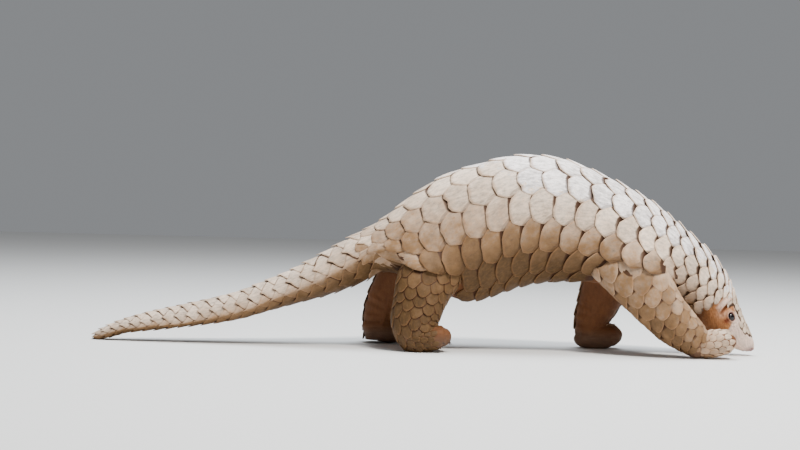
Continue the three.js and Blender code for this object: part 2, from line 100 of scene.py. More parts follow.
# Feet from heel to toe ends: x, sideways, z, half height, half width
hindFootStations = [(-33, 57, 27, 7, 12), (-24, 57, 21.5, 13.5, 20), (-8, 57, 17, 17, 25),
                    (8, 57, 17, 17, 25), (20, 57, 20, 15, 22), (29, 57, 22, 10.5, 17),
                    (33, 57, 24, 3, 8)]
foreFootStations = [(338, 57, 22, 15, 15), (352, 57, 18.5, 17.5, 18), (366, 57, 19, 17.5, 19),
                    (378, 57, 21.5, 16, 18), (388, 57, 23, 12.5, 15), (394, 57, 24, 5, 8)]
feet = {
    "hindfoot_right": {"stations": hindFootStations, "shift": (0, 0, 0), "sign": -1, "fore": False},
    "hindfoot_left": {"stations": hindFootStations, "shift": (-46, 0, 0), "sign": 1, "fore": False},
    "forefoot_right": {"stations": foreFootStations, "shift": (0, 0, 0), "sign": -1, "fore": True},
    "forefoot_left": {"stations": foreFootStations, "shift": (-128, -5, -4), "sign": 1,
                      "fore": True},
}


def curveThrough(rows, centres):  # smooth rows of numbers, measured along the chord of the centres
    rows = np.array(rows, float)
    chords = np.linalg.norm(np.diff(centres, axis=0), axis=1)
    knots = np.concatenate([[0], np.cumsum(chords)])
    steps = chords[:, None]
    slopes = np.diff(rows, axis=0) / steps
    middle = (slopes[:-1] * steps[1:] + slopes[1:] * steps[:-1]) / (steps[:-1] + steps[1:])
    tangents = np.vstack([slopes[:1], middle, slopes[-1:]])

    def at(along):
        along = np.asarray(along, float)
        i = np.clip(np.searchsorted(knots, along) - 1, 0, len(rows) - 2)
        span = (knots[i + 1] - knots[i])[..., None]
        t = np.clip((along - knots[i])[..., None] / span, 0, 1)
        start, end = rows[i], rows[i + 1]
        a, b = tangents[i] * span, tangents[i + 1] * span
        return (start + a * t + (3 * (end - start) - 2 * a - b) * t ** 2
                + (2 * (start - end) + a + b) * t ** 3)

    return at, knots


def between(stops, place):
    return np.interp(place, [stop[0] for stop in stops], [stop[1] for stop in stops])


def unit(vectors):
    return vectors / np.linalg.norm(vectors, axis=-1, keepdims=True)


bodyAt, knots = curveThrough(
    bodyStations, [((row[0] + row[2]) / 2, 0, (row[1] + row[3]) / 2) for row in bodyStations])


def bodyPoint(along, angle, lift):  # angle 0 is the back, a positive angle the left side
    along, angle, lift = np.broadcast_arrays(along, angle, lift)
    backX, backZ, bellyX, bellyZ, width, edge, roll = np.moveaxis(bodyAt(along), -1, 0)
    zero = np.zeros_like(backX)
    centre = np.stack([(backX + bellyX) / 2, zero, (backZ + bellyZ) / 2], -1)
    up = np.stack([backX - bellyX, zero, backZ - bellyZ], -1)
    tall = np.linalg.norm(up, axis=-1)
    up = up / tall[..., None]
    cosine = np.cos(angle)
    rise = (tall / 2 + lift) * cosine * np.abs(cosine) ** edge
    reach = (width + lift) * np.sin(angle) * (1 - bellyFull * (1 - 2 * edge) * cosine)
    turn = np.radians(roll)
    side = np.stack([zero, np.cos(turn), zero], -1) + up * np.sin(turn)[..., None]
    top = up * np.cos(turn)[..., None] - np.stack([zero, np.sin(turn), zero], -1)
    return (centre + top * rise[..., None] + side * reach[..., None]) * mm


def alongHead(distance):  # millimetres from the snout, as stretches of the body's own measure
    return distance * knots[7] / headLength


def hideDepth(along):  # how far the bare hide lies under the tips of the scales
    return between([(alongHead(12), 0), (alongHead(30), 1.2), (knots[8], 2), (knots[10], 3),
                    (knots[18], 2.6), (knots[20], 2), (knots[25], 1.6), (knots[-1], 0.8)], along)


def legSurface(rows, sign):  # angle 0 faces outward, a quarter turn forward
    flip = np.array([1, sign, 1])
    at, marks = curveThrough(rows, np.array(rows)[:, :3] * flip)

    def point(along, angle, lift):
        along, angle, lift = np.broadcast_arrays(along, angle, lift)
        row = at(along)
        axis = unit((at(np.minimum(along + 2, marks[-1])) - at(np.maximum(along - 2, 0)))[..., :3]
                    * flip)
        outward = unit(np.array([0, sign, 0]) - axis * axis[..., 1:2] * sign)
        forward = np.cross(outward, axis) * -sign
        return (row[..., :3] * flip + outward * ((row[..., 4] + lift) * np.cos(angle))[..., None]
                + forward * ((row[..., 3] + lift) * np.sin(angle))[..., None]) * mm

    return point, marks[-1]


def footRows(foot):
    shiftX, shiftY, shiftZ = foot["shift"]
    return [(x + shiftX, y + shiftY, z + shiftZ, tall, wide)
            for x, y, z, tall, wide in foot["stations"]]


surfaces = {}
for name, rows in legStations.items():
    surfaces[name] = legSurface(rows, 1 if name.endswith("left") else -1)
for name, foot in feet.items():
    surfaces[name] = legSurface(footRows(foot), foot["sign"])


# Shader maths as expressions: each operator on a signal adds its Math node
class Signal:
    def __init__(self, tree, socket):
        self.tree = tree
        self.socket = socket

    def __add__(self, other):
        return maths(self.tree, "ADD", self, other)

    def __sub__(self, other):
        return maths(self.tree, "SUBTRACT", self, other)

    def __rsub__(self, other):
        return maths(self.tree, "SUBTRACT", other, self)

    def __mul__(self, other):
        return maths(self.tree, "MULTIPLY", self, other)

    def __truediv__(self, other):
        return maths(self.tree, "DIVIDE", self, other)

    def __rtruediv__(self, other):
        return maths(self.tree, "DIVIDE", other, self)

    def __pow__(self, other):
        return maths(self.tree, "POWER", self, other)

    def __rpow__(self, other):
        return maths(self.tree, "POWER", other, self)

    def __abs__(self):
        return maths(self.tree, "ABSOLUTE", self)

    def atLeast(self, other):
        return maths(self.tree, "MAXIMUM", self, other)

    def atMost(self, other):
        return maths(self.tree, "MINIMUM", self, other)

    def clamped(self):
        return self.atLeast(0.0).atMost(1.0)

    __radd__ = __add__
    __rmul__ = __mul__


def addNode(tree, kind, settings=None, inputs=None, output=0):
    item = tree.nodes.new(kind)
    for name, value in (settings or {}).items():
        if name == "stops":
            ramp = item.color_ramp
            while len(ramp.elements) < len(value):
                ramp.elements.new(0.5)
            for element, (place, level) in zip(ramp.elements, value):
                element.position = place
                element.color = (level, level, level, 1)
        else:
            setattr(item, name, value)
    for key, value in (inputs or {}).items():
        if isinstance(value, Signal):
            tree.links.new(value.socket, item.inputs[key])
        else:
            item.inputs[key].default_value = value
    return Signal(tree, item.outputs[output])


def maths(tree, operation, *values):
    return addNode(tree, "ShaderNodeMath", {"operation": operation}, dict(enumerate(values)))


def colour(*levels):
    return (*levels, 1.0)


def mixColour(tree, factor, first, second, blend="MIX"):
    return addNode(tree, "ShaderNodeMix", {"data_type": "RGBA", "blend_type": blend},
                   {0: factor, 6: first, 7: second}, 2)


def attribute(tree, name, output="Fac"):
    return addNode(tree, "ShaderNodeAttribute", {"attribute_name": name}, {}, output)


def parts(tree, vector):
    split = addNode(tree, "ShaderNodeSeparateXYZ", {}, {0: vector}).socket.node
    return [Signal(tree, socket) for socket in split.outputs]


def noise(tree, vector, scale, detail=3.0, roughness=0.5):
    return addNode(tree, "ShaderNodeTexNoise", {}, {"Vector": vector, "Scale": scale,
                                                     "Detail": detail, "Roughness": roughness})


def ramp(tree, factor, *stops):
    return addNode(tree, "ShaderNodeValToRGB", {"stops": stops}, {"Fac": factor})


def objectPlace(tree):
    return addNode(tree, "ShaderNodeTexCoord", {}, {}, "Object")


def newMaterial(name, constants):
    material = bpy.data.materials.new(name)
    material.use_nodes = True
    shader = material.node_tree.nodes["Principled BSDF"]
    for key, value in constants.items():
        shader.inputs[key].default_value = value
    return material, material.node_tree, shader


def feed(tree, shader, **signals):
    for key, signal in signals.items():
        tree.links.new(signal.socket, shader.inputs[key.replace("_", " ")])


def bump(tree, height, strength, distance):
    return addNode(tree, "ShaderNodeBump", {}, {"Height": height, "Strength": strength,
                                                 "Distance": distance})


def shaded(tree, base, shade):
    grey = addNode(tree, "ShaderNodeCombineColor", {}, {0: shade, 1: shade, 2: shade})
    return mixColour(tree, 1.0, base, grey, "MULTIPLY")


# Horn runs from a painted top sheen through pale and tan to earth brown as its warmth grows
scaleLook = {
    "frost": colour(0.86, 0.795, 0.765),
    "pale": colour(0.80, 0.655, 0.525),
    "tan": colour(0.29, 0.162, 0.076),
    "earth": colour(0.08, 0.041, 0.014),
    # root: painted shade where a scale runs in under the scales over it
    "root": colour(0.05, 0.02, 0.009),
    # edgeShadow: painted shadow beneath the free edges of the scales that lie over a scale
    "edgeShadow": colour(0.055, 0.022, 0.009),
    "edge": colour(0.34, 0.155, 0.06),
    "lip": colour(0.80, 0.62, 0.43),
    "speck": colour(0.24, 0.15, 0.09),
    "stages": {"frost": ((0.0, 1), (0.0, 0)), "tan": ((0.0, 0), (0.7, 1)),
               "earth": ((0.55, 0), (0.95, 1))},
    "noises": {"lines": 0.34, "blotch": 60.0, "mottle": 190.0, "specks": 380.0},
    "gloss": 0.2,
    "roughness": 0.62,
    "relief": 0.0006,
}


# painted shadow: how far a place lies from the free edges of the scales over it, and how strongly
# their shadow falls there, strongest below the lower edges
def edgeShadowSignals(tree):  # millimetres from the edges of the scales over a place, and their shade
    x, y, bend = parts(tree, attribute(tree, "spot", "Vector"))
    tip, width, step = parts(tree, attribute(tree, "shape", "Vector"))
    across = abs(y)
    ahead = (across / width).atMost(1.0) ** bend
    beside = (abs(1.0 - across) / width).atMost(1.0) ** bend
    edge = (tip * (1.0 - ahead) - 2.0).atLeast(tip * (1.0 - beside) - 1.0)
    return (x - edge) * step, (0.72 - y * 1.3).clamped()


def scaleMaterial(look):
    material, tree, shader = newMaterial("dusty horn", {"Specular IOR Level": look["gloss"]})
    place, sizes = objectPlace(tree), look["noises"]
    tone, warm, rim = (attribute(tree, name) for name in ("tone", "warm", "rim"))
    lines = noise(tree, attribute(tree, "grain", "Vector"), sizes["lines"], 3.0, 0.65)
    blotch = noise(tree, place, sizes["blotch"], 4.0, 0.6)
    mottle = noise(tree, place, sizes["mottle"], 4.0, 0.65)
    specks = noise(tree, place, sizes["specks"], 3.0, 0.7)
    warmth = warm + (blotch - 0.49) * 0.4 + (lines - 0.49) * 0.4 + (mottle - 0.49) * 0.25
    base = look["pale"]
    for name, stops in look["stages"].items():
        base = mixColour(tree, ramp(tree, warmth, *stops), base, look[name])
    base = shaded(tree, base, tone + (lines - 0.5) * 1.8 + (mottle - 0.5) * 0.9)
    dotted = ramp(tree, specks, (0.54, 0), (0.7, 0.55)) * (1.0 - warm * 0.8).clamped()
    base = mixColour(tree, dotted, base, look["speck"])
    worn = ramp(tree, rim + (blotch - 0.5) * 0.2, (0.9, 0), (0.975, 0.6))
    base = mixColour(tree, worn * (0.8 - warm * 0.5).clamped(), base, look["edge"])
    lip = ramp(tree, rim, (0.965, 0), (0.99, 0.55))
    base = mixColour(tree, lip * (1.0 - warm * 1.15).clamped(), base, look["lip"])
    # painted shadow under the free edges of the neighbouring scales, darker under their lower edges
    gap, strength = edgeShadowSignals(tree)
    gap = gap * 0.1 + (lines - 0.5) * 0.12 + (blotch - 0.5) * 0.4
    edgeShadow = ramp(tree, gap, (0.0, 0.95), (0.13, 0)) * (strength * 0.75 + 0.25)
    base = mixColour(tree, edgeShadow, base, look["edgeShadow"])
    # painted shade on the root of each scale, where the scales over it keep the light off
    base = mixColour(tree, ramp(tree, rim, (0.2, 0.9), (0.3, 0)), base, look["root"])
    feed(tree, shader, Base_Color=base,
         Normal=bump(tree, lines * 0.7 + specks * 0.3, 0.6, look["relief"]),
         Roughness=blotch * 0.3 + (look["roughness"] - 0.15))
    return material


hideLook = {
    "under": colour(0.135, 0.052, 0.019),
    # between: painted shade, near-black hide where it shows under and between the scales
    "between": colour(0.055, 0.024, 0.012),
    "cheek": colour(0.40, 0.165, 0.058),
    "blush": colour(0.56, 0.33, 0.22),
    "toe": colour(0.125, 0.067, 0.039),
    "snout": colour(0.66, 0.49, 0.40),
    # muzzle: painted shade on the underside of the snout's tip and inside the eye's opening
    "muzzle": colour(0.17, 0.09, 0.10),
    "corner": colour(0.15, 0.03, 0.008),
    "roughness": 0.7,
    "relief": 0.001,
}
hidePatches = ("between", "cheek", "blush", "toe", "snout", "muzzle", "corner")


def hideMaterial(look):
    material, tree, shader = newMaterial("bare hide", {
        "Subsurface Weight": 0.1, "Subsurface Scale": 0.003,
        "Subsurface Radius": (1.0, 0.4, 0.2), "Specular IOR Level": 0.18})
    place = objectPlace(tree)
    blotch = noise(tree, place, 90.0, 4.0, 0.6)
    folds = noise(tree, place, 420.0, 4.0, 0.6)
    strand = noise(tree, attribute(tree, "strand", "Vector"), 1.0, 4.0, 0.6)
    base = look["under"]
    for name in hidePatches:
        level = attribute(tree, name)
        amount = (level + ((blotch - 0.5) * 0.3 + (strand - 0.5) * 0.5) * level).clamped()
        base = mixColour(tree, amount, base, look[name])
    base = shaded(tree, base, 0.2 + folds * 0.35 + blotch * 0.45 + strand * 0.8)
    feed(tree, shader, Base_Color=base,
         Normal=bump(tree, folds * 0.7 + blotch * 0.8 + strand, 0.7, look["relief"]),
         Roughness=folds * 0.3 + (look["roughness"] - 0.15))
    return material


clawLook = {"root": colour(0.12, 0.058, 0.032), "tip": colour(0.04, 0.018, 0.011),
            "dust": scaleLook["pale"], "gloss": 0.3, "relief": 0.0004}


def clawMaterial(look):
    material, tree, shader = newMaterial("claw horn", {"Specular IOR Level": look["gloss"]})
    streaks = noise(tree, attribute(tree, "grain", "Vector"), 0.8, 4.0, 0.6)
    base = mixColour(tree, attribute(tree, "rim"), look["root"], look["tip"])
    dust = noise(tree, objectPlace(tree), 300.0, 4.0, 0.6)
    base = mixColour(tree, ramp(tree, dust, (0.5, 0), (0.75, 0.12)), base, look["dust"])
    feed(tree, shader, Base_Color=base, Normal=bump(tree, streaks, 0.4, look["relief"]),
         Roughness=streaks * 0.3 + 0.25)
    return material


eyeLook = {"dark": colour(0.003, 0.002, 0.003), "light": colour(0.008, 0.005, 0.007),
           "gloss": 0.35, "roughness": 0.04}


def eyeMaterial(look):
    material, tree, shader = newMaterial("wet eye", {
        "Roughness": look["roughness"], "Specular IOR Level": look["gloss"]})
    cloud = noise(tree, objectPlace(tree), 500.0)
    feed(tree, shader, Base_Color=mixColour(tree, cloud, look["dark"], look["light"]))
    return material


horn = scaleMaterial(scaleLook)
hide = hideMaterial(hideLook)
clawHorn = clawMaterial(clawLook)
wetEye = eyeMaterial(eyeLook)
print("materials ready")


def added(name, data):
    item = bpy.data.objects.new(name, data)
    bpy.context.collection.objects.link(item)
    return item


def finishPiece(name, mesh, material, nodes=()):
    mesh.name = name
    piece = added(name, mesh)
    mesh.materials.clear()
    mesh.materials.append(material)
    mesh.polygons.foreach_set("use_smooth", [True] * len(mesh.polygons))
    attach(piece, "root")
    if nodes:
        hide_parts(*nodes)
    return piece


def setValues(mesh, name, values, kind="FLOAT"):
    layer = mesh.attributes.new(name, kind, "POINT")
    layer.data.foreach_set("vector" if kind == "FLOAT_VECTOR" else "value",
                           np.ascontiguousarray(values, np.float32).ravel())


def places(mesh):
    found = np.empty(len(mesh.vertices) * 3, np.float32)
    mesh.vertices.foreach_get("co", found)
    return found.reshape(-1, 3).astype(float)


def meshFrom(work, name):
    mesh = bpy.data.meshes.new(name)
    work.to_mesh(mesh)
    work.free()
    return mesh


def valuesOf(mesh, name):
    found = np.empty(len(mesh.vertices), np.float32)
    mesh.attributes[name].data.foreach_get("value", found)
    return found.astype(float)


def joined(name, meshes):
    work = bmesh.new()
    for mesh in meshes:
        work.from_mesh(mesh)
    return meshFrom(work, name)


def outward(mesh):  # turns the faces of each closed shell outward
    work = bmesh.new()
    work.from_mesh(mesh)
    bmesh.ops.recalc_face_normals(work, faces=work.faces)
    work.to_mesh(mesh)
    work.free()


# A scale is laid out in steps of its ring along and in shares of its row across
scalePlan = {"columns": 8, "rows": 6, "root": -1.6, "wide": -0.3, "blunt": 0.7,
             "spread": (0, 0.36, 0.6, 0.78, 0.9, 0.965, 1)}

# Half outlines of a scale, from its tip round to its widest place
roundedHexagon = ((1, 0), (0.99, 0.33), (0.86, 0.62), (0.45, 0.86), (0, 1))
diamond = ((1, 0), (0.93, 0.25), (0.68, 0.52), (0.34, 0.77), (0, 1))
pointedShield = ((1, 0), (0.66, 0.24), (0.5, 0.55), (0.3, 0.82), (0, 1))

# How unlike each other the scales are
loose = {"tip": (-0.06, 0.06), "width": (-0.04, 0.04), "skew": (-0.12, 0.12),
         "notchAt": (-0.5, 0.5), "notch": (0.1, 0.26), "notchWidth": 0.14, "waved": 0.5,
         "wave": 0.05, "waves": 9, "lean": (-0.03, 0.03), "along": (-0.05, 0.05),
         "row": (-0.025, 0.025), "flare": (-0.3, 0.6), "tilt": (-1, 1), "tone": (-0.13, 0.1),
         "warm": (-0.05, 0.05)}


def scaleTemplate():  # a unit plate: x from root to free edge, y across, z under and upper face
    work = bmesh.new()
    bmesh.ops.create_grid(work, x_segments=scalePlan["rows"], y_segments=scalePlan["columns"],
                          size=1)
    raised = bmesh.ops.extrude_face_region(work, geom=work.faces[:])
    upper = [item for item in raised["geom"] if isinstance(item, bmesh.types.BMVert)]
    bmesh.ops.translate(work, verts=upper, vec=(0, 0, 1))
    bmesh.ops.recalc_face_normals(work, faces=work.faces)
    return meshFrom(work, "scale")


template = scaleTemplate()
plateX, plateT, plateZ = places(template).T[:, None, :]
plateS = np.interp((plateX + 1) / 2 * scalePlan["rows"], range(scalePlan["rows"] + 1),
                   scalePlan["spread"])

coverPlan = {"x": (-110, 380), "z": (0, 190), "step": 2.5, "upper": 0.75, "sides": 1.6,
             "samples": (70, 60), "near": 4, "blur": 0.4, "fall": 2.0, "free": 2}


def coverMap(sign):  # how far out the legs of one side reach over a grid of x and z
    spots = []
    for name in legStations:
        if name.endswith("left") == (sign > 0):
            point, length = surfaces[name]
            along, angle = np.meshgrid(
                np.linspace(0, length * coverPlan["upper"], coverPlan["samples"][0]),
                np.linspace(-coverPlan["sides"], coverPlan["sides"], coverPlan["samples"][1]))
            spots.append(point(along, angle, 0).reshape(-1, 3) / mm)
    spots = np.concatenate(spots)
    tree = KDTree(len(spots))
    for i, spot in enumerate(spots):
        tree.insert((spot[0], spot[2], 0), i)
    tree.balance()
    across = np.arange(*coverPlan["x"], coverPlan["step"])
    upward = np.arange(*coverPlan["z"], coverPlan["step"])
    reach = np.empty((len(across), len(upward)))
    for i, x in enumerate(across):
        for j, z in enumerate(upward):
            found = tree.find_n((x, z, 0), coverPlan["near"])
            weights = [1 / (apart + coverPlan["blur"]) for _, _, apart in found]
            reach[i, j] = sum(abs(spots[which][1]) * weight for (_, which, _), weight
                              in zip(found, weights)) / sum(weights)
            reach[i, j] -= coverPlan["fall"] * max(found[0][2] - coverPlan["free"], 0)
    return reach


covers = {-1: coverMap(-1), 1: coverMap(1)}


def legCover(x, z, sign):
    field, step = covers[sign], coverPlan["step"]
    u = np.clip((x - coverPlan["x"][0]) / step, 0, field.shape[0] - 1.001)
    v = np.clip((z - coverPlan["z"][0]) / step, 0, field.shape[1] - 1.001)
    i, j = u.astype(int), v.astype(int)
    u, v = u - i, v - j
    return ((field[i, j] * (1 - u) + field[i + 1, j] * u) * (1 - v)
            + (field[i, j + 1] * (1 - u) + field[i + 1, j + 1] * u) * v)


drapePlan = {"clear": 2.8, "round": 20, "ease": 0.2, "middle": 8}


def overLegs(points, level, share):  # the scales of the flanks run on over shoulders and hips
    points = points / mm
    x, y, z = np.moveaxis(points, -1, 0)
    for sign in (-1, 1):
        cover = legCover(x, z, sign) + level + drapePlan["clear"]
        out = np.abs(y)
        over = (out + cover + np.sqrt((out - cover) ** 2 + drapePlan["round"])) / 2
        over = out + (over - drapePlan["ease"] - out) * share
        moved = (y * sign > drapePlan["middle"]) & (over > out)
        points[..., 1] = np.where(moved, sign * over, points[..., 1])
    return points * mm


def scaleOutline(form, look, drawn):  # x toward the free edge, y across
    s, t, root, wide = plateS, plateT, scalePlan["root"], scalePlan["wide"]
    tip = form["tip"] * (1 + drawn("tip"))
    width = form["width"] * (1 + drawn("width"))
    corner = np.rint(np.abs(t) * (len(look["outline"]) - 1)).astype(int)
    reachX, reachY = ((1 - form["sharp"]) * np.array(look["outline"])[corner, part]
                      + form["sharp"] * np.array(diamond)[corner, part] for part in (0, 1))
    edgeX = wide + (tip - wide) * reachX
    edgeX = edgeX + drawn("skew") * np.sin(t * math.pi)
    edgeY = width * np.sign(t) * reachY
    notchAt = drawn("notchAt")
    notch = np.where(drawn() < look["notches"], drawn("notch"), 0)
    wear = notch * np.exp(-((t - notchAt) / loose["notchWidth"]) ** 2)
    wear = wear * np.clip((s - 0.7) / 0.3, 0, 1)
    wave = np.where(drawn() < loose["waved"], loose["wave"], 0)
    edgeX = edgeX + wave * np.cos(loose["waves"] * t + drawn(span=(0, 6)))
    blend = s ** scalePlan["blunt"]
    return root + s * (edgeX - root) - wear, width * 0.8 * t * (1 - blend) + edgeY * blend


def scaleLevel(form, look, drawn, x):  # how high each place of a scale stands over the surface
    s, t = plateS, plateT
    flare = form["flare"] + drawn("flare")
    rise = (x - scalePlan["root"]) / (look["tip"] - scalePlan["root"])
    lift = -form["depth"] + (form["depth"] + flare) * np.clip(rise, 0, 1.1) ** 0.95
    crown = look["crown"] * (1 - t ** 2) * np.sin(np.clip(s, 0, 1) * math.pi * 0.8)
    keel = form["keel"] * np.clip(1 - np.abs(t) * 2.2, 0, 1) * s ** 2
    rounding = look["thick"] * 0.45 * np.clip((np.maximum(s, np.abs(t)) - 0.965) / 0.035, 0, 1)
    level = lift + crown + keel + np.where(plateZ > 0.5, -rounding, -look["thick"])
    return level + t * drawn("tilt") * look["tilt"] * np.clip(rise, 0, 1)


def scaleValues(mesh, form, look, drawn, x, y, turn):  # what the horn's material reads
    s, t, bare = plateS, plateT, form["bare"]

    def three(*values):
        return np.stack([np.broadcast_to(value, x.shape) for value in values], -1)

    setValues(mesh, "grain", three(x * form["step"] * 0.35, y * form["rowSize"],
                                   drawn(span=(0, 90))), "FLOAT_VECTOR")
    bend = look["bend"] + (1.6 - look["bend"]) * form["sharp"]
    # which side of a scale takes the painted shadow of its neighbours' edges
    shadowY = np.where(form["side"] == 0, -np.abs(y), y * form["side"])
    setValues(mesh, "spot", three(x + bare * 0.8, shadowY, bend), "FLOAT_VECTOR")
    setValues(mesh, "shape", three(look["tip"], look["width"], form["step"]), "FLOAT_VECTOR")
    sides = (0.8 + 0.8 * (np.abs(t) - 0.75)) * np.clip((s - 0.45) / 0.15, 0, 1)
    rim = np.maximum(np.maximum(s, sides), bare * 0.35)
    tone = 1 + drawn("tone")
    warm = form["warm"] + drawn("warm") + form["underWarm"] * (1 - np.cos(turn)) / 2
    warm = warm + form["fade"] * (np.abs(form["row"] + y) - np.abs(form["row"]))
    for key, value in (("rim", rim), ("tone", tone), ("warm", np.clip(warm, -0.4, 1))):
        setValues(mesh, key, np.broadcast_to(value, x.shape))


def bakePatches(mesh, form, patch=0.003):  # a small patch for each scale at its own place
    bake = mesh.uv_layers.new(name="OFBake")
    patches = np.stack([form["bakeU"] + (plateS - 0.5) * patch,
                        form["bakeV"] + plateT * patch / 2], -1).reshape(-1, 2)
    corners = np.empty(len(mesh.loops), np.int32)
    mesh.loops.foreach_get("vertex_index", corners)
    bake.data.foreach_set("uv", patches[corners].ravel().astype(np.float32))


def scaleField(cells, surface, look):  # one plate for each cell, bent over the surface
    form = {key: np.array([float(cell[key]) for cell in cells])[:, None] for key in cells[0]}
    form = {"sharp": 0, "lean": 0, "flare": 0, "keel": 0, "side": 0, "bare": 0, "underWarm": 0,
            "fade": 0, **look, **form}

    def drawn(name=None, span=(0, 1)):
        return draws.uniform(*loose.get(name, span), (len(cells), 1))

    x, y = scaleOutline(form, look, drawn)
    lean = form["lean"] + drawn("lean")
    along = form["along"] + (x + drawn("along")) * form["step"]
    turn = (form["row"] + drawn("row") + y + lean * x) / form["rows"] * fullTurn
    level = scaleLevel(form, look, drawn, x)
    points = surface(along, turn, level)
    if "drape" in form:
        points = overLegs(points, level, form["drape"])
    points[..., 2] = np.maximum(points[..., 2], floorGap)
    work = bmesh.new()
    for _ in cells:
        work.from_mesh(template)
    mesh = meshFrom(work, look["name"])
    mesh.vertices.foreach_set("co", points.reshape(-1).astype(np.float32))
    scaleValues(mesh, form, look, drawn, x, y, turn)
    bakePatches(mesh, form)
    outward(mesh)
    return mesh


def ringPlaces(start, end, pitches):  # rings of scales, half a pitch apart
    found = [start]
    while found[-1] < end:
        found.append(found[-1] + float(between(pitches, found[-1])) / 2)
    return found


def lattice(rings, rows, skip=(0, 1), shelf=0, shelves=1):  # every other ring half a scale across
    for ring in range(skip[0], len(rings) - skip[1]):
        for turn in range(ring % 2, rows, 2):
            row = turn - rows if turn > rows / 2 else turn
            yield {"along": rings[ring], "step": rings[ring + 1] - rings[ring], "row": row,
                   "rows": rows, "bakeV": (shelf + 0.5 + 0.9 * row / rows) / shelves}


def fadeAcross(look, row):  # how fast the warmth grows from row to row
    return (between(look["warmth"], abs(row) + 1) - between(look["warmth"], abs(row) - 1)) / 2


# Lists hold a place along the body, or a row out from the back, and the value there
bodyTip, bodyWidth = 1.16, 0.675
bodyScales = {
    "name": "body_scales", "rows": 14, "lowest": 6, "start": 7, "end": knots[18] + 24,
    "tip": bodyTip, "width": bodyWidth, "outline": roundedHexagon, "bend": 4, "notches": 0.45,
    "crown": 0.35, "thick": 1.3, "tilt": 0.35, "leaning": 0.03, "legGap": 2,
    "pitches": [(0, 11), (alongHead(22), 11), (knots[7], 13), (knots[9], 18), (knots[11], 26),
                (knots[15], 28), (knots[18], 24)],
    "limits": [(alongHead(71), -1), (alongHead(73), 1), (alongHead(76), 2), (alongHead(81), 3),
               (alongHead(86), 4), (alongHead(91), 6)],
    # warmth by row grows toward the belly: partly the horn's own colour, partly painted shade of
    # the lower flank
    "warmth": [(-1, 0.06), (0, 0.04), (1, 0.16), (2, 0.3), (3, 0.4), (4, 0.6), (5, 0.86),
               (6, 1.15), (7, 1.2)],
    "pallor": [(knots[9], 0.6), (knots[10], 0.92), (knots[12], 1.03), (knots[13], 1.2),
               (knots[15], 1.25), (knots[17], 1.5)],
    "hips": [(knots[15], 0), (knots[18], 0.16)],
    "warmest": [(knots[15], 1.2), (knots[17], 0.62)],
    "fading": [(knots[9], 0.6), (knots[12], 1), (knots[16], 0.7), (knots[18], 0.25)],
    # frost: painted sheen that whitens the top rows of the back where the light falls on them
    "frost": [(knots[8], 0.2), (knots[10], 0.42), (knots[12], 0.42), (knots[13], 0.32),
              (knots[14], 0.12), (knots[15], 0)],
    "topSheenRows": [(2, 1), (4, 0)],
    "sunk": [(knots[8], 1.2), (knots[10], 0)],
    "draped": [(knots[10] - 30, 0), (knots[10] - 18, 1)],
    "drapeRows": 4,
    "forms": {
        "flare": [(knots[6], 0.6), (knots[8], 2.8), (knots[10], 2.2), (knots[12], 0.4)],
        "width": [(knots[6], 0.7), (knots[8], 0.76), (knots[10], 0.74), (knots[12], bodyWidth)],
        "tip": [(knots[6], 1.1), (knots[7], 0.9), (knots[10], 0.96), (knots[12], bodyTip)],
        "sharp": [(knots[10], 1), (knots[12], 0.2), (knots[18], 0)],
        "rowSize": [(knots[6], 8), (knots[12], 30), (knots[18], 24)],
    },
}


def neckSlant(along):  # on the neck the rings run forward toward the throat
    return between([(knots[5], 15), (knots[8], 14), (knots[10], 6), (knots[11], 0)], along)


def slantedBody(along, angle, lift):
    return bodyPoint(along - neckSlant(along) * np.abs(angle), angle, lift)


def behindLeg(look, along, row, angle):  # low scales where a leg covers the flank
    spot = slantedBody(along, angle, 0) / mm
    legs = legCover(spot[:1], spot[2:], 1 if row > 0 else -1)[0]
    return (abs(row) > look["drapeRows"] and along > knots[10] - 10
            and legs > abs(spot[1]) + look["legGap"])


def bodyCells(look):
    cells = []
    for cell in lattice(ringPlaces(look["start"], look["end"], look["pitches"]), look["rows"],
                        (2, 2)):
        along, row = cell["along"], cell["row"]
        angle = row / look["rows"] * fullTurn
        limit = between(look["limits"], along - neckSlant(along) * abs(angle))
        if abs(row) > min(limit, look["lowest"]) or behindLeg(look, along, row, angle):
            continue
        warm = (between(look["warmth"], abs(row)) * between(look["pallor"], along)
                + between(look["hips"], along))
        # painted sheen: the top rows between the neck and the hips turn whiter
        frost = between(look["frost"], along) * between(look["topSheenRows"], abs(row))
        cells.append({
            **cell,
            **{key: between(stops, along) for key, stops in look["forms"].items()},
            "depth": float(hideDepth(along)) + between(look["sunk"], along),
            "warm": min(warm, between(look["warmest"], along)) - frost,
            "fade": fadeAcross(look, row) * between(look["fading"], along),
            "drape": between(look["draped"], along) * (abs(row) <= look["drapeRows"]),
            "lean": math.copysign(min(abs(row), 4) * look["leaning"], row) if row else 0,
            "side": (row > 0) - (row < 0),
            "bakeU": 0.02 + 0.96 * along / look["end"],
        })
    return cells


foreheadScales = {
    "name": "forehead_scales", "rows": 20, "start": alongHead(17), "end": alongHead(76),
    "tip": 1.2, "width": 0.62, "outline": roundedHexagon, "bend": 4, "notches": 0.1,
    "crown": 0.35, "thick": 0.5, "tilt": 0.15, "warm": 0.24, "rowSize": 6,
    "pitches": [(0, 7.5), (alongHead(76), 9.5)],
    "limits": [(alongHead(18), 1), (alongHead(28), 3), (alongHead(42), 3), (alongHead(50), 2.3),
               (alongHead(62), 2.3), (alongHead(68), 3)],
}


